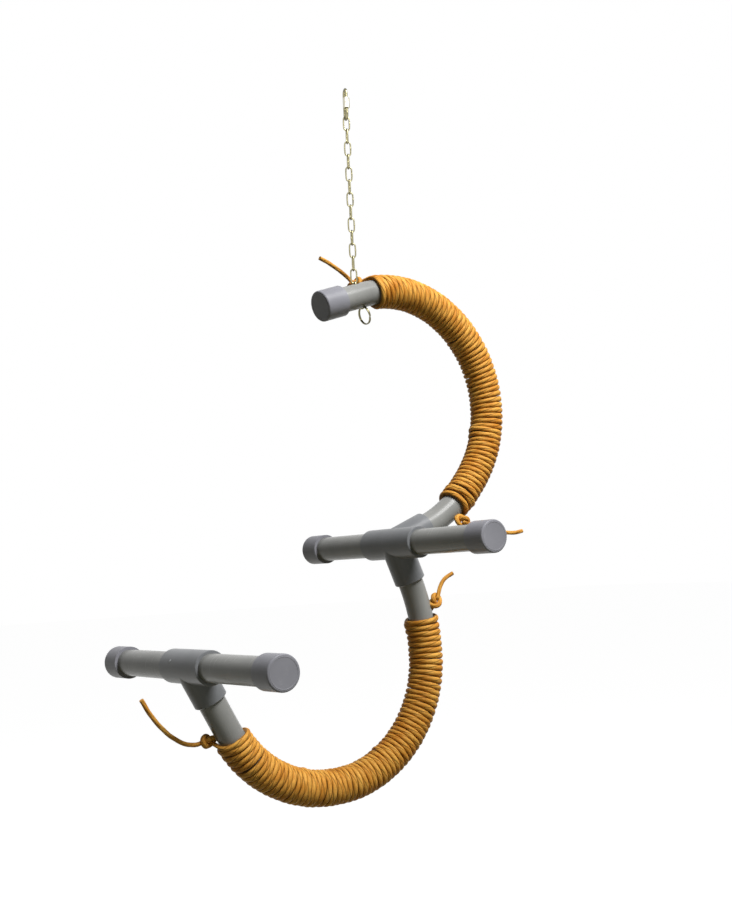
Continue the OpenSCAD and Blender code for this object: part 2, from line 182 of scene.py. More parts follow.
def on_pipe(way, place, turn, radius):
    """Point at a turn round the pipe's axis, and the way outwards there."""
    x, z, heading = walk(way.start, way.run, place)
    h = math.radians(heading)
    outward = Vector((-math.sin(h), 0.0, math.cos(h)))
    out = outward * math.cos(turn) + Vector((0.0, math.sin(turn), 0.0))
    return Vector((x, 0.0, z)) + out * radius, out


def cad_place(way, w):
    lead = 0.0
    if w < 0:
        lead = -((w / LEAD_TURN) ** 2)
    elif w > way.loops:
        lead = ((w - way.loops) / LEAD_TURN) ** 2
    return way.first + way.length * w / way.loops + LEAD_LENGTH * lead


def cad_point(way, w):
    return on_pipe(way, cad_place(way, w), math.radians(way.phase + way.hand * 360 * w), CAD_LINE)


def cad_heading(way, w):
    return (cad_point(way, w + 0.01)[0] - cad_point(way, w - 0.01)[0]).normalized()


def exit_of(way, start):
    """Turn at which the rope leaves the pipe, and the way out to its knot."""
    if start:
        return -LEAD_TURN, -cad_heading(way, -LEAD_TURN)
    return way.loops + LEAD_TURN, cad_heading(way, way.loops + LEAD_TURN)


def knot_ends(end):
    """Face where the winding meets the knot, the knot's middle, and the way from one to the other."""
    way = WAYS[end.split("_")[0]]
    w, way_out = exit_of(way, end.endswith("start"))
    face = cad_point(way, w)[0] + EXIT_LENGTH * way_out
    return face, face + KNOT_FACE * way_out, way_out


def smooth_share(x):
    x = min(1.0, max(0.0, x))
    return x * x * (3 - 2 * x)


# Sizes and colours that a user would change


def length_of(name, description, default, low, high):
    return FloatProperty(name=name, description=description, default=default, min=low, max=high,
                         unit="LENGTH")


def share_of(name, description, default, high):
    return FloatProperty(name=name, description=description, default=default, min=0, max=high,
                         subtype="FACTOR")


def power_of(name, description, default):
    return FloatProperty(name=name, description=description, default=default, min=0, max=500,
                         unit="POWER")


def colour_of(name, description, default):
    return FloatVectorProperty(name=name, description=description, default=default, size=3,
                               min=0, max=1, subtype="COLOR")


class SwingRopeSettings(PropertyGroup):
    diameter: length_of("Diameter", "Diameter of the paper rope", 0.0056, 0.004, 0.008)
    wound_height: length_of("Wound height", "Height of a wound turn over the pipe",
                            0.0064, 0.004, 0.007)
    lay: length_of("Lay", "Length over which the rope's plies make one turn", 0.060, 0.01, 0.08)
    plies: IntProperty(name="Plies", description="Plies twisted into the rope", default=3,
                       min=2, max=4)
    groove: share_of("Groove", "Depth of the grooves between plies, as a share of the radius",
                     0.13, 0.3)
    turn_rings: IntProperty(name="Rings in a turn", description="Rings of the mesh in one turn of rope",
                            default=40, min=16, max=60)
    straw: colour_of("Straw", "Lighter colour of the paper", (0.850, 0.450, 0.088))
    toffee: colour_of("Toffee", "Darker colour of the paper", (0.600, 0.235, 0.026))
    # The crease colour is painted shade, towards which the grooves between plies are darkened.
    painted_groove_colour: colour_of("Crease", "Colour in the grooves between plies", (0.095, 0.032, 0.005))


class SwingPlasticSettings(PropertyGroup):
    pipe: colour_of("Pipe", "Colour of the pipes", (0.250, 0.251, 0.240))
    fitting: colour_of("Fitting", "Colour of the fittings", (0.182, 0.188, 0.197))
    cap: colour_of("Cap", "Colour of the end caps", (0.236, 0.236, 0.262))
    scuffs: share_of("Scuffs", "How much the plastic is scuffed", 0.5, 1)


class SwingMetalSettings(PropertyGroup):
    wire: length_of("Link wire", "Wire diameter of the chain links", 0.002, 0.0015, 0.0025)
    link_length: length_of("Link length", "Length of the opening inside a link", 0.0176, 0.015, 0.02)
    link_width: length_of("Link width", "Width of the opening inside a link", 0.006, 0.005, 0.008)
    weld: share_of("Weld", "Swell of a link's weld, as a share of the wire", 0.14, 0.3)
    taper: share_of("Link taper", "How much narrower a link is at its ends, as a share", 0.15, 0.3)
    nut_flats: length_of("Nut across flats", "Width of the sleeve nut across its flats",
                         0.0074, 0.006, 0.009)
    nut_length: length_of("Nut length", "Length of the sleeve nut", 0.014, 0.01, 0.016)
    brass: colour_of("Plating", "Colour of the yellow plating", (0.42, 0.385, 0.225))
    # The tarnish colour serves both the tarnish in patches and the painted dark reflection at grazing
    # angles.
    tarnish_and_dark_reflection: colour_of("Tarnish", "Colour of the tarnished plating", (0.045, 0.042, 0.014))
    bright: colour_of("Bright plating", "Colour of the sleeve nut", (0.86, 0.84, 0.76))


class SwingStageSettings(PropertyGroup):
    floor_drop: length_of("Floor", "Distance of the floor below the lowest piece", 0.60, 0.1, 2)
    key: power_of("Key light", "Power of the light over the swing", 99.0)
    fill: power_of("Fill light", "Power of the light beside the camera", 0.6)
    sky: FloatProperty(name="Sky", description="Strength of the light from all round", default=0.06,
                       min=0, max=2)


# Trees of nodes


def put(tree, socket, value):
    """Sets an input, from another node's output or to a value. A colour gets its alpha here."""
    if isinstance(value, bpy.types.NodeSocket):
        tree.links.new(value, socket)
    else:
        socket.default_value = (*value, 1.0) if socket.type == "RGBA" else value


def node_of(tree, kind, sockets=None, **facts):
    """New node with its facts set, then its inputs."""
    node = tree.nodes.new(kind)
    for name, value in facts.items():
        setattr(node, name, value)
    for name, value in (sockets or {}).items():
        put(tree, node.inputs[name], value)
    return node


def geo(tree, kind, sockets=None, **facts):
    """First output of a new geometry node."""
    return node_of(tree, f"GeometryNode{kind}", sockets, **facts).outputs[0]


def shade(tree, kind, sockets=None, **facts):
    """First output of a new shader, colour, vector or sum node."""
    return node_of(tree, f"ShaderNode{kind}", sockets, **facts).outputs[0]


def calc(tree, operation, *values):
    return shade(tree, "Math", dict(enumerate(values)), operation=operation)


def times(tree, first, *others):
    for other in others:
        first = calc(tree, "MULTIPLY", first, other)
    return first


def less(tree, one, two):
    return calc(tree, "SUBTRACT", one, two)


def vector_calc(tree, operation, one, two):
    second = 3 if operation == "SCALE" else 1
    return shade(tree, "VectorMath", {0: one, second: two}, operation=operation)


def parts_of(tree, vector):
    return node_of(tree, "ShaderNodeSeparateXYZ", {0: vector}).outputs


def vector_of(tree, x=0.0, y=0.0, z=0.0):
    return shade(tree, "CombineXYZ", {0: x, 1: y, 2: z})


def ranged(tree, value, low, high, to_low=0.0, to_high=1.0, kind="LINEAR"):
    sockets = dict(enumerate((value, low, high, to_low, to_high)))
    return shade(tree, "MapRange", sockets, interpolation_type=kind)


def mixed(tree, share, a, b):
    return node_of(tree, "ShaderNodeMix", {0: share, 6: a, 7: b}, data_type="RGBA").outputs[2]


def noise(tree, place, scale, detail, roughness=0.55):
    return shade(tree, "TexNoise", {
        "Vector": place, "Scale": scale, "Detail": detail, "Roughness": roughness})


def group_with(name, kind, inputs, outputs):
    """New tree, its inputs and its outputs. A tree that is there already comes without them.

    An input is named with its default, or with its kind where it has none.
    """
    tree = bpy.data.node_groups.get(name)
    if tree:
        return tree, None, None
    tree = bpy.data.node_groups.new(name, kind)
    kinds = {int: "Int", float: "Float", tuple: "Vector"}
    new_socket = tree.interface.new_socket
    for label, default in inputs.items():
        kind = kinds.get(type(default), default)
        socket = new_socket(name=label, in_out="INPUT", socket_type=f"NodeSocket{kind}")
        if kind != default:
            socket.default_value = default
    for label, kind in outputs.items():
        new_socket(name=label, in_out="OUTPUT", socket_type=f"NodeSocket{kind}")
    return tree, tree.nodes.new("NodeGroupInput").outputs, tree.nodes.new("NodeGroupOutput").inputs


def named(tree, name, kind="FLOAT_VECTOR"):
    return geo(tree, "InputNamedAttribute", {"Name": name}, data_type=kind)


def stored(tree, geometry, name, value, kind="FLOAT_VECTOR"):
    sockets = {"Geometry": geometry, "Name": name, "Value": value}
    return geo(tree, "StoreNamedAttribute", sockets, data_type=kind, domain="POINT")


def circle_of(tree, radius, sides):
    return geo(tree, "CurvePrimitiveCircle", {"Radius": radius, "Resolution": sides}, mode="RADIUS")


def finished(tree, geometry, given, out):
    """Ends a tree: smooth faces, instances made real, and the given material."""
    smooth = geo(tree, "SetShadeSmooth", {"Geometry": geometry})
    real = geo(tree, "RealizeInstances", {"Geometry": smooth})
    put(tree, out, geo(tree, "SetMaterial", {"Geometry": real, "Material": given["Material"]}))


def ply_twist(tree, x, y, run, given):
    """Angle round the rope that turns with its plies, and 0 in a groove to 1 on a ply's back."""
    laid = times(tree, calc(tree, "DIVIDE", run, given["Lay"]), math.tau)
    twist = less(tree, calc(tree, "ARCTAN2", y, x), laid)
    wave = calc(tree, "SINE", times(tree, twist, times(tree, given["Plies"], 0.5)))
    return twist, calc(tree, "ABSOLUTE", wave)


def rope_tree():
    """Rope along a path of points that say which way is out, and how wide and high the rope is."""
    tree, given, result = group_with(
        "rope_along_path", "GeometryNodeTree",
        {"Path": "Geometry", "Sides": 16, "Plies": 3.0, "Lay": 0.03, "Groove": 0.1,
         "Material": "Material"}, {"Rope": "Geometry"})
    if not given:
        return tree
    unit, fullness = 0.001, 0.6
    here = geo(tree, "InputPosition")
    along = node_of(tree, "GeometryNodeSplineParameter").outputs["Length"]
    line = stored(tree, geo(tree, "MeshToCurve", {"Mesh": given["Path"]}), "rope_centre", here)
    line = stored(tree, line, "rope_run", along, "FLOAT")
    rim = stored(tree, circle_of(tree, 1.0, given["Sides"]), "rope_round", here)
    small = geo(tree, "Transform", {"Geometry": rim, "Scale": (unit, unit, unit)})
    sweep = geo(tree, "CurveToMesh", {"Curve": line, "Profile Curve": small, "Fill Caps": True})
    around = parts_of(tree, named(tree, "rope_round"))
    run = named(tree, "rope_run", "FLOAT")
    lobe = calc(tree, "POWER", ply_twist(tree, around[0], around[1], run, given)[1], fullness)
    size = less(tree, 1.0, times(tree, less(tree, 1.0, lobe), given["Groove"]))
    place = named(tree, "rope_centre")
    for way, half, share in (("out", "high", around[1]), ("side", "wide", around[0])):
        reach = times(tree, named(tree, f"rope_{half}", "FLOAT"), size, share)
        offset = vector_calc(tree, "SCALE", named(tree, f"rope_{way}"), reach)
        place = vector_calc(tree, "ADD", place, offset)
    shaped = geo(tree, "SetPosition", {"Geometry": sweep, "Position": place})
    outwards = geo(tree, "FlipFaces", {"Mesh": shaped})
    rope = stored(tree, outwards, "rope_lay", vector_of(tree, around[0], around[1], run))
    for name in ("centre", "run", "round", "high", "wide", "out", "side"):
        rope = geo(tree, "RemoveAttribute", {"Geometry": rope, "Name": f"rope_{name}"})
    finished(tree, rope, given, result["Rope"])
    return tree


def wire_tree():
    """Round wire along a path, with cut ends."""
    tree, given, result = group_with(
        "wire_along_path", "GeometryNodeTree",
        {"Path": "Geometry", "Wire": 0.0016, "Sides": 16, "Material": "Material"},
        {"Wire": "Geometry"})
    if not given:
        return tree
    curve = geo(tree, "MeshToCurve", {"Mesh": given["Path"]})
    section = circle_of(tree, times(tree, given["Wire"], 0.5), given["Sides"])
    sweep = geo(tree, "CurveToMesh", {"Curve": curve, "Profile Curve": section, "Fill Caps": True})
    finished(tree, sweep, given, result["Wire"])
    return tree


def link_tree():
    """Welded chain link, turned about the chain's line, leaned and put in its place."""
    tree, given, result = group_with(
        "welded_link", "GeometryNodeTree",
        {"Blank": "Geometry", "Wire": 0.002, "Length": 0.0176, "Width": 0.006, "Weld": 0.14,
         "Taper": 0.15, "Turn": 0.0, "Lean": 0.0, "Place": (0.0, 0.0, 0.0), "Material": "Material"},
        {"Link": "Geometry"})
    if not given:
        return tree
    corner_share, corner_points, loop_points, sides = 0.4999, 10, 72, 14
    weld_flat, weld_end = 0.0004, 0.0016
    wide = calc(tree, "ADD", given["Width"], given["Wire"])
    tall = calc(tree, "ADD", given["Length"], given["Wire"])
    box = geo(tree, "CurvePrimitiveQuadrilateral", {"Width": wide, "Height": tall}, mode="RECTANGLE")
    corners = {"Curve": box, "Count": corner_points, "Radius": times(tree, wide, corner_share)}
    rounded = geo(tree, "FilletCurve", corners, mode="POLY")
    even = geo(tree, "ResampleCurve", {"Curve": rounded, "Count": loop_points}, mode="COUNT")
    spot = parts_of(tree, geo(tree, "InputPosition"))
    level = calc(tree, "ABSOLUTE", spot[1])
    near = ranged(tree, level, weld_flat, weld_end, 1.0, 0.0, "SMOOTHSTEP")
    swell = times(tree, near, given["Weld"], calc(tree, "GREATER_THAN", spot[0], 0.0))
    near_end = calc(tree, "POWER", calc(tree, "DIVIDE", level, times(tree, tall, 0.5)), 2.0)
    narrow = less(tree, 1.0, times(tree, near_end, given["Taper"]))
    oval_place = vector_of(tree, times(tree, spot[0], narrow), spot[1])
    oval = geo(tree, "SetPosition", {"Geometry": even, "Position": oval_place})
    section = circle_of(tree, times(tree, given["Wire"], 0.5), sides)
    sweep = geo(tree, "CurveToMesh", {
        "Curve": oval, "Profile Curve": section, "Scale": calc(tree, "ADD", swell, 1.0)})
    turn = vector_of(tree, math.pi / 2, 0.0, given["Turn"])
    lean = vector_of(tree, 0.0, times(tree, given["Lean"], -1.0))
    upright = geo(tree, "Transform", {"Geometry": sweep, "Rotation": turn})
    hung = geo(tree, "Transform", {
        "Geometry": upright, "Rotation": lean, "Translation": given["Place"]})
    finished(tree, hung, given, result["Link"])
    return tree


# Meshes


def add_object(name, data):
    obj = bpy.data.objects.new(name, data)
    bpy.context.scene.collection.objects.link(obj)
    return obj


def made_by(tree, name, holder, **values):
    """Plain mesh object that a tree makes from a holder, which is then removed."""
    modifier = holder.modifiers.new("make", "NODES")
    modifier.node_group = tree
    for item in tree.interface.items_tree:
        if item.in_out == "INPUT" and item.name in values:
            modifier[item.identifier] = values[item.name]
    bpy.context.view_layer.update()
    graph = bpy.context.evaluated_depsgraph_get()
    mesh = bpy.data.meshes.new_from_object(
        holder.evaluated_get(graph), preserve_all_data_layers=True, depsgraph=graph)
    if len(mesh.polygons) == 0:
        raise RuntimeError(f"{name} came out empty")
    old = holder.data
    bpy.data.objects.remove(holder)
    bpy.data.meshes.remove(old)
    mesh.name = name
    return add_object(name, mesh)


def path_holder(points):
    mesh = bpy.data.meshes.new("path")
    mesh.from_pydata([tuple(p) for p in points], [(i, i + 1) for i in range(len(points) - 1)], [])
    return add_object("path", mesh)


def headings(points):
    last = len(points) - 1
    return [(points[min(i + 1, last)] - points[max(i - 1, 0)]).normalized() for i in range(last + 1)]


def make_rope(name, points, outs, wides, highs, material, sides):
    """One rope piece. Outs, wides and highs hold each point's way outwards and half sizes."""
    rope = bpy.context.scene.swing_rope
    holder = path_holder(points)
    ways = {"rope_out": [], "rope_side": []}
    for heading, out in zip(headings(points), outs):
        side = heading.cross(out).normalized()
        ways["rope_side"].extend(side)
        ways["rope_out"].extend(side.cross(heading))
    new_attribute = holder.data.attributes.new
    for label, values in ways.items():
        new_attribute(label, "FLOAT_VECTOR", "POINT").data.foreach_set("vector", values)
    for label, values in (("rope_wide", wides), ("rope_high", highs)):
        new_attribute(label, "FLOAT", "POINT").data.foreach_set("value", values)
    return made_by(rope_tree(), name, holder, Sides=sides, Plies=float(rope.plies), Lay=rope.lay,
                   Groove=rope.groove, Material=material)


def smooth_line(points, count):
    """Points of a smooth curve through a route's corners."""
    line = []
    ends = [2 * points[0] - points[1]] + list(points) + [2 * points[-1] - points[-2]]
    for i in range(1, len(ends) - 2):
        a, b, c, d = ends[i - 1:i + 3]
        for k in range(count):
            t = k / count
            line.append(0.5 * (2 * b + (c - a) * t + (2 * a - 5 * b + 4 * c - d) * t * t
                               + (3 * b - a - 3 * c + d) * t ** 3))
    line.append(points[-1].copy())
    return line


def carried_out(points, out):
    """Ways outwards that turn as little as they can from one point to the next."""
    outs = []
    for heading in headings(points):
        out = (out - heading * out.dot(heading)).normalized()
        outs.append(out.copy())
    return outs


def lofted(name, rings, material, smooth):
    """Closed mesh through rings of points, the last joined to the first. One point is a pole."""
    shape = bmesh.new()
    around = max(len(ring) for ring in rings)
    loops = []
    for ring in rings:
        spots = [shape.verts.new(p) for p in ring]
        loops.append(spots * (around // len(spots)))
    for one, two in zip(loops, loops[1:] + loops[:1]):
        for k in range(around):
            n = (k + 1) % around
            corners = list(dict.fromkeys((one[k], one[n], two[n], two[k])))
            if len(corners) > 2:
                shape.faces.new(corners).smooth = smooth
    bmesh.ops.recalc_face_normals(shape, faces=shape.faces)
    mesh = bpy.data.meshes.new(name)
    shape.to_mesh(mesh)
    shape.free()
    mesh.materials.append(material)
    return add_object(name, mesh)


# Materials


def new_material(name, colour, roughness, metallic=0.0, gloss=0.5):
    """New material, its tree and its shader. A material that is there already comes without them."""
    material = bpy.data.materials.get(name)
    if material:
        return material, None, None
    material = bpy.data.materials.new(name)
    material.use_nodes = True
    tree = material.node_tree
    shader = tree.nodes["Principled BSDF"]
    for socket, value in (("Base Color", colour), ("Roughness", roughness), ("Metallic", metallic),
                          ("Specular IOR Level", gloss)):
        put(tree, shader.inputs[socket], value)
    return material, tree, shader


def surfaced(tree, shader, colour, roughness, height, relief, relief_height):
    """Gives a shader the colour, roughness and relief that change over its surface."""
    bump = shade(tree, "Bump", {"Strength": relief, "Distance": relief_height, "Height": height})
    for socket, value in (("Base Color", colour), ("Roughness", roughness), ("Normal", bump)):
        put(tree, shader.inputs[socket], value)


def placed(tree, group, **sockets):
    """Outputs of a group, placed in a material on object coordinates with its own values."""
    place = node_of(tree, "ShaderNodeTexCoord").outputs["Object"]
    values = {name.replace("_", " "): value for name, value in sockets.items()}
    return node_of(tree, "ShaderNodeGroup", {"Place": place, **values}, node_tree=group).outputs


def wear_group():
    """Cloudy tone, scuffs, patches and fine grain, shared by every plastic and metal."""
    tree, given, result = group_with(
        "surface_wear", "ShaderNodeTree",
        {"Place": (0.0, 0.0, 0.0), "Scuff scale": 60.0, "Scuffs": 0.5, "Grain scale": 900.0},
        {"Cloud": "Float", "Scuff": "Float", "Patch": "Float", "Grain": "Float"})
    if not given:
        return tree
    place, cloud_scale, patch_scale, along_perches = given["Place"], 14.0, 260.0, (1.0, 7.0, 1.0)
    stretched = vector_calc(tree, "MULTIPLY", place, along_perches)
    marks = noise(tree, stretched, given["Scuff scale"], 6.0, 0.7)
    thin = ranged(tree, marks, 0.60, 0.72, kind="SMOOTHSTEP")
    put(tree, result["Cloud"], noise(tree, place, cloud_scale, 4.0, 0.5))
    put(tree, result["Scuff"], times(tree, thin, given["Scuffs"]))
    put(tree, result["Patch"], noise(tree, place, patch_scale, 4.0, 0.6))
    put(tree, result["Grain"], noise(tree, place, given["Grain scale"], 2.0, 0.5))
    return tree


def paper_group():
    """Twisted paper: grooves between plies and fibres that run with them."""
    tree, given, result = group_with(
        "twisted_paper", "ShaderNodeTree",
        {"Rope lay": (0.0, 0.0, 0.0), "Place": (0.0, 0.0, 0.0), "Plies": 3.0, "Lay": 0.03},
        {"Groove": "Float", "Fibre": "Float", "Patch": "Float", "Height": "Float"})
    if not given:
        return tree
    fibre_run, fibre_scale, patch_run, patch_scale = 70.0, 7.0, 26.0, 55.0
    fibre_height, groove_depth = 0.35, 0.9
    x, y, run = parts_of(tree, given["Rope lay"])
    twist, lobe = ply_twist(tree, x, y, run, given)
    groove = ranged(tree, lobe, 0.05, 0.42, 1.0, 0.0, "SMOOTHSTEP")
    fibre_place = vector_of(tree, calc(tree, "COSINE", twist), calc(tree, "SINE", twist),
                            times(tree, run, fibre_run))
    fibre = noise(tree, fibre_place, fibre_scale, 5.0, 0.65)
    bands = noise(tree, vector_of(tree, times(tree, run, patch_run)), 1.0, 2.0)
    patches = calc(tree, "ADD", bands, noise(tree, given["Place"], patch_scale, 3.0))
    height = less(tree, times(tree, fibre, fibre_height), times(tree, groove, groove_depth))
    put(tree, result["Groove"], groove)
    put(tree, result["Fibre"], fibre)
    put(tree, result["Patch"], times(tree, patches, 0.5))
    put(tree, result["Height"], height)
    return tree


def rope_material(wound=False):
    """Twisted paper with painted shade in the grooves between plies. Where it is wound, the sides that meet
    the next turn get painted shade too.
    """
    rope = bpy.context.scene.swing_rope
    name = "wound_paper_rope" if wound else "bare_paper_rope"
    material, tree, shader = new_material(name, rope.straw, 0.55, gloss=0.12)
    if not tree:
        return material
    # The wound turns are painted as a lighter copy of the paper than the bare ends (1.0 against 0.88), to
    # make up for the shade between the turns.
    strength, groove_shade, relief = (1.0, 0.55, 0.7) if wound else (0.88, 0.32, 0.4)
    streak_low, streak_high = (0.66, 1.22) if wound else (0.82, 1.12)
    side_start, side_end, side_shade = 0.82, 0.99, 0.68
    lay = node_of(tree, "ShaderNodeAttribute", attribute_name="rope_lay",
                  attribute_type="GEOMETRY").outputs["Vector"]
    paper = placed(tree, paper_group(), Rope_lay=lay, Plies=float(rope.plies), Lay=rope.lay)
    straw, toffee = ([part * strength for part in colour] for colour in (rope.straw, rope.toffee))
    colour = mixed(tree, ranged(tree, paper["Patch"], 0.38, 0.62), toffee, straw)
    streak = ranged(tree, paper["Fibre"], 0.32, 0.68, streak_low, streak_high)
    streaked = vector_calc(tree, "SCALE", colour, streak)
    # Painted shade: the grooves between plies are darkened towards the crease colour.
    dark = times(tree, paper["Groove"], groove_shade)
    # Painted shade on the sides of a wound turn, where it meets the next turn.
    if wound:
        across = calc(tree, "ABSOLUTE", parts_of(tree, lay)[0])
        side = ranged(tree, across, side_start, side_end, 0.0, side_shade, "SMOOTHSTEP")
        dark = calc(tree, "MAXIMUM", dark, side)
    rough = ranged(tree, paper["Fibre"], 0.3, 0.7, 0.62, 0.46)
    surfaced(tree, shader, mixed(tree, dark, streaked, rope.painted_groove_colour), rough, paper["Height"],
             relief, 0.0006)
    return material


def plastic_material(name, colour, roughness, lighter):
    """Moulded plastic with a cloudy tone, and scuffs that are lighter and rougher."""
    material, tree, shader = new_material(name, colour, roughness, gloss=0.20)
    if not tree:
        return material
    darkest, lightest = 0.9, 1.12
    scuff_tone, scuff_roughness, grain_height = 0.5, 0.22, 0.5
    wear = placed(tree, wear_group(), Scuff_scale=42.0, Grain_scale=1400.0,
                  Scuffs=bpy.context.scene.swing_plastic.scuffs)
    dark = [c * darkest for c in colour]
    light = [min(1.0, c * lightest) for c in colour]
    tone = mixed(tree, ranged(tree, wear["Cloud"], 0.35, 0.65), dark, light)
    tone = mixed(tree, times(tree, wear["Scuff"], scuff_tone), tone, lighter)
    rough = calc(tree, "ADD", roughness, times(tree, wear["Scuff"], scuff_roughness))
    height = less(tree, times(tree, wear["Grain"], grain_height), wear["Scuff"])
    surfaced(tree, shader, tone, rough, height, 0.12, 0.0002)
    return material


def plastic_of(kind):
    """The plastic of the pipes, the fittings or the caps."""
    roughness, lighter = {"pipe": (0.27, (0.42, 0.42, 0.40)), "fitting": (0.34, (0.36, 0.36, 0.37)),
                          "cap": (0.40, (0.40, 0.40, 0.43))}[kind]
    colour = getattr(bpy.context.scene.swing_plastic, kind)
    return plastic_material(f"{kind}_plastic", colour, roughness, lighter)


def metal_material(name, colour, tarnish_and_dark_reflection, roughness):
    """Plated metal, tarnished in patches, with a painted dark reflection in its gloss at grazing angles."""
    material, tree, shader = new_material(name, colour, roughness, 1.0)
    if not tree:
        return material
    rim_painted_darkening, patch_tarnish, scuff_roughness = 0.92, 0.7, 0.25
    wear = placed(tree, wear_group(), Scuff_scale=500.0, Scuffs=0.8, Grain_scale=4200.0)
    # Painted reflection: towards grazing angles the plating is darkened towards the tarnish colour, like
    # the gloss of a dark surround.
    facing = node_of(tree, "ShaderNodeLayerWeight", {"Blend": 0.5}).outputs["Facing"]
    rim = ranged(tree, facing, 0.15, 0.70, 0.0, rim_painted_darkening)
    patch = ranged(tree, wear["Patch"], 0.48, 0.68, 0.0, patch_tarnish)
    # The tone mixes real tarnish in patches with the painted dark reflection at grazing angles.
    tone = mixed(tree, calc(tree, "MAXIMUM", patch, rim), colour, tarnish_and_dark_reflection)
    rough = calc(tree, "ADD", roughness, times(tree, wear["Scuff"], scuff_roughness))
    height = calc(tree, "ADD", wear["Grain"], wear["Patch"])
    surfaced(tree, shader, tone, rough, height, 0.18, 0.0002)
    return material


def dress_node(name, material):
    """A carried-over CAD node in a better material."""
    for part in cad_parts[name].material_slots:
        part.material = material


# Operators, one for each piece or group of like pieces


def turned_pair(one, two, angle):
    """Two ways at right angles, turned in their plane from the first towards the second."""
    turn = math.radians(angle)
    return (one * math.cos(turn) + two * math.sin(turn),
            two * math.cos(turn) - one * math.sin(turn))


class SWING_OT_camera(Operator):
    """Places the camera where the photograph was taken from"""
    bl_idname = "swing.camera"
    bl_label = "Camera"

    def execute(self, context):
        azimuth, elevation = math.radians(AZIMUTH), math.radians(ELEVATION)
        away = Vector((math.sin(azimuth) * math.cos(elevation),
                       -math.cos(azimuth) * math.cos(elevation), math.sin(elevation)))
        place = Vector((CROSS[0], 0.0, CROSS[1])) + CAMERA_DISTANCE * away
        forward = -away
        right = forward.cross(Vector((0, 0, 1))).normalized()
        up = right.cross(forward)
        forward, right = turned_pair(forward, right, YAW)
        forward, up = turned_pair(forward, up, PITCH)
        right, up = turned_pair(right, up, ROLL)
        data = bpy.data.cameras.new("camera")
        data.sensor_width = SENSOR
        data.lens = FOCAL * SENSOR / PICTURE_HIGH
        data.shift_x = (PICTURE_WIDE / 2 - AXIS_X) / PICTURE_HIGH
        data.shift_y = (AXIS_Y - PICTURE_HIGH / 2) / PICTURE_HIGH
        data.clip_start, data.clip_end = 0.05, 60.0
        camera = add_object("camera", data)
        turned = Matrix((right, up, -forward)).transposed().to_4x4()
        camera.matrix_world = Matrix.Translation(place) @ turned
        context.scene.camera = camera
        context.scene.view_settings.view_transform = "Standard"
        return {"FINISHED"}


def tail_line(end):
    """Points of one tail's smooth line, from the middle of its knot."""
    middle, between_corners = knot_ends(end)[1], 6
    return smooth_line([middle + MILLI * Vector(p) for p in TAILS[end]], between_corners)


class SWING_OT_rope_ends(Operator):
    """Lays the four bare rope ends beyond their knots"""
    bl_idname = "swing.rope_ends"
    bl_label = "Rope ends"

    def execute(self, context):
        half, sides = context.scene.swing_rope.diameter / 2, 18
        for end in TAILS:
            line = tail_line(end)
            sizes = [half] * len(line)
            tail = make_rope(f"{end}_rope_end", line, carried_out(line, Vector((0.0, 1.0, 0.0))),
                             sizes, sizes, rope_material(), sides)
            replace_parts(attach(tail, "swing"), f"{end}_tail")
        return {"FINISHED"}


def knot_start(start, start_way, finish, finish_way, away):
    """Loose overhand knot between two ends, on the curve (t^3 - 3t, t^4 - 4t^2 + 2, t^5 - 10t)."""
    points, reach, lead, loop, depth = 57, 2.02, 0.0015, 0.0034, 0.0006
    axis = (finish - start).normalized()
    across = (away - axis * away.dot(axis)).normalized()
    beside = axis.cross(across)
    middle = (start + finish) / 2
    line = [start, start + start_way * lead]
    for i in range(points):
        t = -reach + 2 * reach * i / (points - 1)
        u, v, w = t ** 3 - 3 * t, t ** 4 - 4 * t * t + 2, t ** 5 - 10 * t
        line.append(middle + loop * u * beside + loop * v * across + depth * w * axis)
    return line + [finish - finish_way * lead, finish]


def drawn_tight(line, thickness):
    """A line shortened step by step, with its ends held and its strands a thickness apart."""
    steps, shrinking, shrink, pull_share = 900, 0.8, 0.985, 0.4
    stiffness, push_share, longest_move = 0.12, 0.5, 0.0006
    neighbours, fewest_neighbours = 1.35, 4
    spots = np.array([tuple(p) for p in line])
    count = len(spots)
    apart = np.abs(np.subtract.outer(np.arange(count), np.arange(count)))
    free = np.ones((count, 1))
    free[:2] = free[-2:] = 0
    for turn in range(steps):
        seams = spots[1:] - spots[:-1]
        lengths = np.linalg.norm(seams, axis=1, keepdims=True)
        goal = lengths.mean() * (shrink if turn < steps * shrinking else 1.0)
        pull = seams * (lengths - goal) / np.maximum(lengths, 1e-9) * pull_share
        move = np.zeros_like(spots)
        move[:-1] += pull
        move[1:] -= pull
        move[1:-1] += stiffness * ((spots[2:] + spots[:-2]) / 2 - spots[1:-1])
        skip = max(fewest_neighbours, int(round(neighbours * thickness / lengths.mean())))
        gaps = spots[:, None, :] - spots[None, :, :]
        far = np.linalg.norm(gaps, axis=2)
        short = np.where((apart > skip) & (far < thickness), thickness - far, 0.0)
        push = (gaps / np.maximum(far, 1e-9)[:, :, None] * short[:, :, None]).sum(axis=1)
        pushes = np.maximum((short > 0).sum(axis=1, keepdims=True), 1)
        move += push_share * push / pushes ** 0.5
        size = np.linalg.norm(move, axis=1, keepdims=True)
        move *= np.minimum(1.0, longest_move / np.maximum(size, 1e-12))
        spots += move * free
    return [Vector(p) for p in spots]


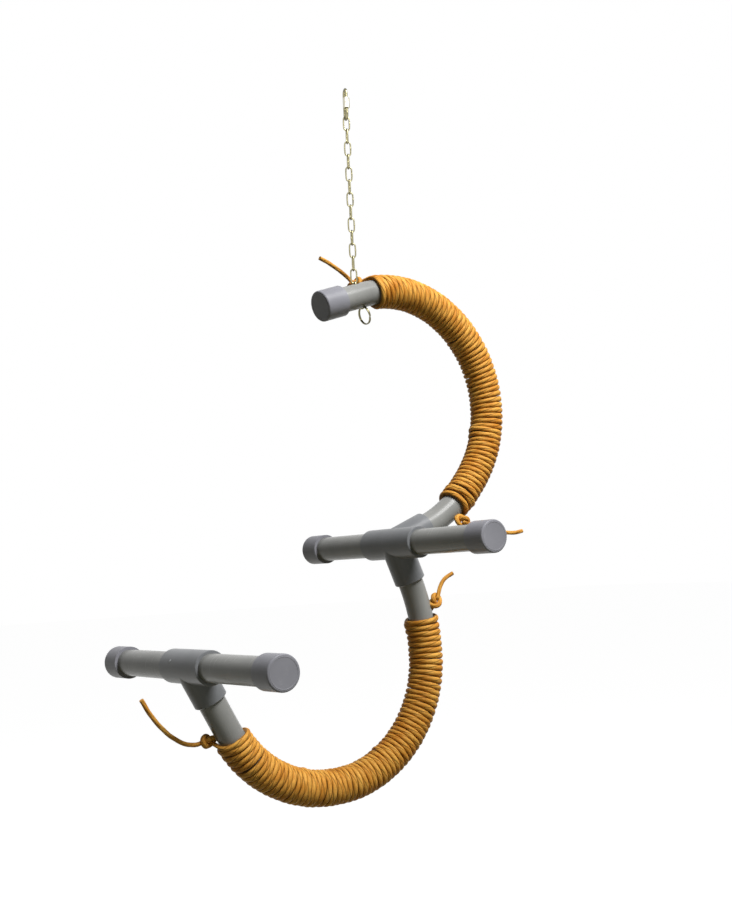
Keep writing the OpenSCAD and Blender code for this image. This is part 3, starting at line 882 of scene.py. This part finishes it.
class SWING_OT_knots(Operator):
    """Ties the four overhand knots at the ends of the windings"""
    bl_idname = "swing.knots"
    bl_label = "Knots"

    def execute(self, context):
        rope = context.scene.swing_rope
        half = rope.diameter / 2
        clearance, bulge, bulge_points, sides = 1.02, 0.16, 10, 18
        for end, route in TAILS.items():
            way = WAYS[end.split("_")[0]]
            face, middle, way_in = knot_ends(end)
            finish = middle + MILLI * Vector(route[0])
            x, z, _ = walk(way.start, way.run, cad_place(way, exit_of(way, end.endswith("start"))[0]))
            away = (middle - Vector((x, 0.0, z))).normalized()
            loose = knot_start(face, way_in, finish, Vector(route[0]).normalized(), away)
            line = drawn_tight(loose, rope.diameter * clearance)
            last = len(line) - 1
            sizes = [half * (1 + bulge * smooth_share(min(i, last - i) / bulge_points))
                     for i in range(last + 1)]
            knot = make_rope(f"{end}_overhand_knot", line, carried_out(line, away), sizes, sizes,
                             rope_material(), sides)
            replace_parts(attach(knot, "swing"), f"{end}_knot")
            line = tail_line(end)
            line = [list(p) for p in line]
        return {"FINISHED"}


def wobble(seed):
    """Smooth uneven curve of one number, from a fixed seed."""
    waves_in_sum, pace = 7, 2.399
    pick = random.Random(seed)
    waves = [(pick.uniform(0.5, 3.3), pick.uniform(0, 6.28), pick.uniform(0.5, 1.0))
             for _ in range(waves_in_sum)]
    total = sum(w[2] for w in waves)
    return lambda v: sum(a * math.sin(f * v * pace + p) for f, p, a in waves) / total


def lead_place(start, slope, finish, end_slope, share):
    """Place along the pipe on the way from the turns to the knot, with both slopes kept."""
    a, b = share * share, share ** 3
    return (start * (2 * b - 3 * a + 1) + slope * (b - 2 * a + share)
            + finish * (3 * a - 2 * b) + end_slope * (b - a))


def wound_line(way, settings):
    """Points, ways outwards and half sizes of a winding from one knot to the other."""
    drift, rise, tilt = wobble(way.seed), wobble(way.seed + 1), wobble(way.seed + 2)
    drift_size, rise_size, slant_size = 0.0005, 0.0003, 0.0018
    slant_turns, slant_from = 6, math.radians(35)
    end_ease, lean_spread, lead_steps, exit_steps = 0.6, 0.2, 9, 6
    widest, overlap = 0.0046, 0.51
    half, half_high = settings.diameter / 2, settings.wound_height / 2
    line_r = PIPE_RADIUS + half_high
    pitch = (way.far - way.near) / way.turns
    steep = (way.length / way.loops + 2 * LEAD_LENGTH / LEAD_TURN) * LEAD_TURN

    def turn_at(v):
        return math.radians(way.phase + way.hand * 360 * v)

    def bump(v, at, spread):
        return math.exp(-((v - at) / spread) ** 2)

    def to_knot(start):
        """From the turns to one knot: down the pipe's side in a curve, then straight out."""
        hand, edge, turns = (-1, way.near, 0) if start else (1, way.far, way.turns)
        w, way_out = exit_of(way, start)
        part = []
        for i in range(1, lead_steps + 1):
            share = i / lead_steps
            place = lead_place(edge, pitch * LEAD_TURN * hand, cad_place(way, w), steep * hand, share)
            turn = turn_at(turns + hand * LEAD_TURN * i / lead_steps)
            part.append((*on_pipe(way, place, turn, line_r + (CAD_LINE - line_r) * share),
                         pitch * 0.5 + (half - pitch * 0.5) * share,
                         half_high + (half - half_high) * share))
        spot, out = cad_point(way, w)
        for i in range(1, exit_steps + 1):
            part.append((spot + way_out * EXIT_LENGTH * (i / exit_steps), out, half, half))
        return part

    line = to_knot(True)[::-1]
    count = round(way.turns * settings.turn_rings)
    for i in range(count + 1):
        v = way.turns * i / count
        near_end = smooth_share(min(v, way.turns - v) / end_ease)
        place, turn = way.near + pitch * v, turn_at(v)
        a = on_pipe(way, place - pitch / 2, turn, line_r)[0]
        b = on_pipe(way, place + pitch / 2, turn, line_r)[0]
        slant = slant_size * tilt(v / slant_turns) * math.sin(turn - slant_from)
        shift = (drift_size * drift(v) + slant) * near_end
        lift = rise_size * rise(v) * near_end
        for at, spread, aside, over in way.ridges:
            shift += aside * bump(v, at, spread)
            lift += over * bump(v, at, spread)
        for back, aside in END_SPREAD:
            shift += aside * (bump(way.turns - v, back, lean_spread) - bump(v, back, lean_spread))
        wide = min(widest, (b - a).length * overlap)
        line.append((*on_pipe(way, place + shift, turn, line_r + lift), wide, half_high))
    return zip(*line, *to_knot(False))


class SWING_OT_windings(Operator):
    """Winds the rope round both arcs of the pipe"""
    bl_idname = "swing.windings"
    bl_label = "Rope windings"

    def execute(self, context):
        sides = 16
        for name, way in WAYS.items():
            line = wound_line(way, context.scene.swing_rope)
            winding = make_rope(f"{name}_rope_turns", *line, rope_material(True), sides)
            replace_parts(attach(winding, "swing"), f"{name}_rope_winding")
        return {"FINISHED"}


class SWING_OT_plastic(Operator):
    """Gives pipes, fittings and caps their plastic"""
    bl_idname = "swing.plastic"
    bl_label = "Plastic parts"

    def execute(self, context):
        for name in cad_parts:
            kind = name.split("_")[-1]
            if kind in ("cap", "pipe"):
                dress_node(name, plastic_of(kind))
            elif kind in ("fitting", "tee"):
                dress_node(name, plastic_of("fitting"))
        return {"FINISHED"}


def face_of(name, outward):
    """Middle of a node's flat end that faces one way."""
    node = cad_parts[name]
    spots = [node.matrix_world @ v.co for v in node.data.vertices]
    middle = outward * max(p.dot(outward) for p in spots)
    beside = outward.orthogonal().normalized()
    for way in (beside, outward.cross(beside)):
        places = [p.dot(way) for p in spots]
        middle += way * (min(places) + max(places)) / 2
    return middle


def turned_mark(name, middle, outward, profile, material, stretch=1.0):
    """Low moulded mark: a profile of (radius, height) turned about the way outwards."""
    around = 64
    beside = outward.orthogonal().normalized()
    across = outward.cross(beside)
    rings = []
    for radius, height in profile:
        turns = [math.tau * k / around for k in range(around if radius else 1)]
        rings.append([middle + outward * height + radius * (math.cos(turn) * beside
                                                            + stretch * math.sin(turn) * across)
                      for turn in turns])
    return lofted(name, rings, material, True)


class SWING_OT_mould_marks(Operator):
    """Adds the ring moulded on each cap's face and the gate mark on the tee"""
    bl_idname = "swing.mould_marks"
    bl_label = "Moulding marks"

    def execute(self, context):
        paler, pale_scuff, pale_roughness, gate_stretch = 2.2, (0.6, 0.6, 0.6), 0.34, 1.5
        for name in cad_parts:
            if not name.endswith("_cap"):
                continue
            outward = Vector((0.0, -1.0 if "_near_" in name else 1.0, 0.0))
            if name.startswith("top"):
                outward = Vector((-math.cos(LEAN), 0.0, -math.sin(LEAN)))
            ring = turned_mark(f"{name}_face_ring", face_of(name, outward), outward, CAP_RING,
                               plastic_of("cap"))
            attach(ring, "swing")
        outward = Vector((-math.cos(GATE_RISE), 0.0, math.sin(GATE_RISE)))
        middle = TEE + TEE_RADIUS * outward + Vector((0.0, GATE_ASIDE, 0.0))
        # The gate mark is painted 2.2 times paler than the fitting around it.
        colour = [paler * part for part in context.scene.swing_plastic.fitting]
        pale = plastic_material("gate_plastic", colour, pale_roughness, pale_scuff)
        gate = turned_mark("tee_gate_mark", middle, outward, GATE, pale, gate_stretch)
        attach(gate, "swing")
        return {"FINISHED"}


class SWING_OT_chain(Operator):
    """Bends and welds every chain link"""
    bl_idname = "swing.chain"
    bl_label = "Chain"

    def execute(self, context):
        metal = context.scene.swing_metal
        material = metal_material("chain_plating", metal.brass, metal.tarnish_and_dark_reflection, 0.30)
        blank = [Vector(), Vector((0, 0, MILLI))]
        for i in range(1, FREE_LINKS + INNER_LINKS + 1):
            inside = i - FREE_LINKS
            place, lean, body = Vector((0, 0, FIRST_LINK - (i - 1) * LINK_PITCH)), 0.0, f"link_{i:02d}"
            if inside > 0:
                depth = (metal.link_length + metal.wire) / 2 + (inside - 1) * LINK_PITCH
                place, lean, body = LEAN_TOP - depth * LEAN_OUT, LEAN, "swing"
            link = made_by(link_tree(), f"welded_link_{i:02d}", path_holder(blank), Wire=metal.wire,
                           Length=metal.link_length, Width=metal.link_width, Weld=metal.weld,
                           Taper=metal.taper, Turn=ODD_TURN if i % 2 else EVEN_TURN, Lean=lean,
                           Place=tuple(place), Material=material)
            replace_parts(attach(link, body), f"chain_link_{i:02d}")
        return {"FINISHED"}


def round_leg(leg, radius, turn, z):
    return leg + Vector((radius * math.cos(turn), radius * math.sin(turn), z))


class SWING_OT_quick_link(Operator):
    """Plates the quick link, cuts its threads and adds its chamfered nut"""
    bl_idname = "swing.quick_link"
    bl_label = "Quick link"

    def execute(self, context):
        metal = context.scene.swing_metal
        plating = metal_material("quick_link_plating", metal.brass, metal.tarnish_and_dark_reflection, 0.26)
        bright = metal_material("nut_plating", metal.bright, metal.brass, 0.22)
        dress_node("quick_link", plating)
        leg = Vector((-LEG_ASIDE * math.cos(EVEN_TURN), -LEG_ASIDE * math.sin(EVEN_TURN), -LEG_DOWN))
        points_in_turn, thread_sides = 20, 6
        for name, low, high in THREADS:
            turns = (high - low) / THREAD_PITCH
            count = int(turns * points_in_turn)
            points = [round_leg(leg, THREAD_RADIUS, math.tau * turns * i / count,
                                low + (high - low) * i / count) for i in range(count + 1)]
            thread = made_by(wire_tree(), f"quick_link_{name}", path_holder(points),
                             Wire=THREAD_WIRE, Sides=thread_sides, Material=plating)
            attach(thread, "quick_link")
        nut = lofted("chamfered_nut", self.nut_rings(metal, leg), bright, False)
        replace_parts(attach(nut, "nut"), "quick_link_nut")
        return {"FINISHED"}

    def nut_rings(self, metal, leg):
        """Rings of a hexagon whose corners are cut by a cone at both ends, and of its bore."""
        around, face, rim_share, cone = 48, math.radians(60), 0.97, 0.58
        apothem = metal.nut_flats / 2
        rim = apothem * rim_share
        rings = []
        for side, level in ((-1, "bore"), (-1, "rim"), (-1, "edge"), (1, "edge"), (1, "rim"), (1, "bore")):
            ring = []
            for k in range(around):
                turn = math.tau * k / around
                corner = apothem / math.cos((turn + face / 2) % face - face / 2)
                cut = (corner - rim) * cone if level == "edge" else 0
                radius = {"bore": NUT_BORE, "rim": rim, "edge": corner}[level]
                ring.append(round_leg(leg, radius, turn + EVEN_TURN, side * (metal.nut_length / 2 - cut)))
            rings.append(ring)
        return rings


class SWING_OT_split_ring(Operator):
    """Coils the split ring from one wire"""
    bl_idname = "swing.split_ring"
    bl_label = "Split ring"

    def execute(self, context):
        metal = context.scene.swing_metal
        count, coils, sides, dulling = 190, 1.985, 16, 0.6
        dulled = [dulling * part for part in metal.brass]
        material = metal_material("ring_plating", dulled, metal.tarnish_and_dark_reflection, 0.28)
        cut_turn, across_turn = math.radians(200), EVEN_TURN + math.radians(20)
        crossing_start, crossing_length = 0.46, 0.08
        turned = (Matrix.Rotation(-LEAN, 4, "Y") @ Matrix.Rotation(across_turn, 4, "Z")
                  @ Matrix.Rotation(math.pi / 2, 4, "X"))
        centre = LEAN_TOP - (RING_DROP + RING_RADIUS) * LEAN_OUT
        points = []
        for i in range(count + 1):
            share = i / count
            angle = math.tau * coils * share + cut_turn
            crossed = smooth_share((share - crossing_start) / crossing_length)
            aside = RING_WIRE * 0.5 * (2 * crossed - 1)
            points.append(centre + (turned @ Vector((RING_RADIUS * math.cos(angle),
                                                     RING_RADIUS * math.sin(angle), aside))))
        ring = made_by(wire_tree(), "coiled_ring", path_holder(points), Wire=RING_WIRE, Sides=sides,
                       Material=material)
        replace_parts(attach(ring, "ring"), "split_ring")
        return {"FINISHED"}


def by_ray(tree, plain, seen):
    """A plain shader for diffuse light, and another for what the camera, gloss and glass see."""
    rays = node_of(tree, "ShaderNodeLightPath").outputs
    others = calc(tree, "MAXIMUM", rays["Is Glossy Ray"], rays["Is Transmission Ray"])
    share = calc(tree, "MAXIMUM", rays["Is Camera Ray"], others)
    return shade(tree, "MixShader", {0: share, 1: plain, 2: seen})


class SWING_OT_stage(Operator):
    """Sets the floor, the white surround and the lights"""
    bl_idname = "swing.stage"
    bl_label = "Stage"

    def execute(self, context):
        settings = context.scene.swing_stage
        floor_reach = 30
        self.floor(CAD_BOX[0][2] - settings.floor_drop, floor_reach)
        self.sky(context, settings.sky)
        self.lamp("key_light", (0.25, -1.5, 1.95), 1.3, settings.key)
        self.lamp("fill_light", (-1.6, -1.6, 0.3), 1.4, settings.fill)
        return {"FINISHED"}

    def floor(self, low, reach):
        """Floor that is white with a shadow to the camera, and dull to the light it sends back."""
        dull, shadow_depth, glow_strength = (0.100, 0.098, 0.038), 0.30, 0.97
        mesh = bpy.data.meshes.new("floor")
        corners = [(x * reach, y * reach, low) for x, y in ((-1, -1), (1, -1), (1, 1), (-1, 1))]
        mesh.from_pydata(corners, [], [(0, 1, 2, 3)])
        material, tree, shader = new_material("floor", dull, 0.9)
        white = shade(tree, "BsdfDiffuse", {"Color": [shadow_depth] * 3})
        glow = shade(tree, "Emission", {"Color": (1, 1, 1), "Strength": glow_strength})
        both = shade(tree, "AddShader", {0: white, 1: glow})
        surface = by_ray(tree, shader.outputs[0], both)
        put(tree, tree.nodes["Material Output"].inputs["Surface"], surface)
        mesh.materials.append(material)
        add_object("floor", mesh)

    def sky(self, context, strength):
        world = bpy.data.worlds.new("surround")
        context.scene.world = world
        world.use_nodes = True
        tree = world.node_tree
        tree.nodes.clear()
        white = shade(tree, "Background", {"Color": (1, 1, 1)})
        soft = shade(tree, "Background", {"Color": (1.0, 1.0, 0.98), "Strength": strength})
        node_of(tree, "ShaderNodeOutputWorld", {"Surface": by_ray(tree, soft, white)})

    def lamp(self, name, offset, size, power):
        """Round lamp that points at the middle of the swing."""
        data = bpy.data.lights.new(name, "AREA")
        data.shape = "DISK"
        data.size = size
        data.energy = power
        middle = Vector((0.0, 0.0, -0.55))
        lamp = add_object(name, data)
        lamp.location = middle + Vector(offset)
        lamp.rotation_euler = (-Vector(offset)).to_track_quat("-Z", "Y").to_euler()


class SWING_PT_panel(Panel):
    """Lists the swing's sizes, colours and pieces"""
    bl_idname = "SWING_PT_panel"
    bl_label = "Bird swing"
    bl_space_type = "VIEW_3D"
    bl_region_type = "UI"
    bl_category = "Swing"

    def draw(self, context):
        for group, kind in SETTINGS.items():
            box = self.layout.box()
            box.label(text=group.replace("swing_", "").capitalize())
            for name in kind.__annotations__:
                box.prop(getattr(context.scene, group), name)
        for operator in OPERATORS:
            self.layout.operator(operator.bl_idname)


SETTINGS = {"swing_rope": SwingRopeSettings, "swing_plastic": SwingPlasticSettings,
            "swing_metal": SwingMetalSettings, "swing_stage": SwingStageSettings}
OPERATORS = (SWING_OT_camera, SWING_OT_rope_ends, SWING_OT_knots, SWING_OT_windings, SWING_OT_plastic,
             SWING_OT_mould_marks, SWING_OT_chain, SWING_OT_quick_link, SWING_OT_split_ring, SWING_OT_stage)
CLASSES = (*SETTINGS.values(), *OPERATORS, SWING_PT_panel)


def register():
    for item in CLASSES:
        bpy.utils.register_class(item)
    for name, kind in SETTINGS.items():
        setattr(bpy.types.Scene, name, PointerProperty(type=kind))


def unregister():
    for name in SETTINGS:
        delattr(bpy.types.Scene, name)
    for item in reversed(CLASSES):
        bpy.utils.unregister_class(item)


def main():
    register()
    bpy.ops.swing.camera()
    bpy.ops.swing.rope_ends()
    bpy.ops.swing.knots()
    bpy.ops.swing.windings()
    bpy.ops.swing.plastic()
    bpy.ops.swing.mould_marks()
    bpy.ops.swing.chain()
    bpy.ops.swing.quick_link()
    bpy.ops.swing.split_ring()
    bpy.ops.swing.stage()


if __name__ == "__main__":
    main()
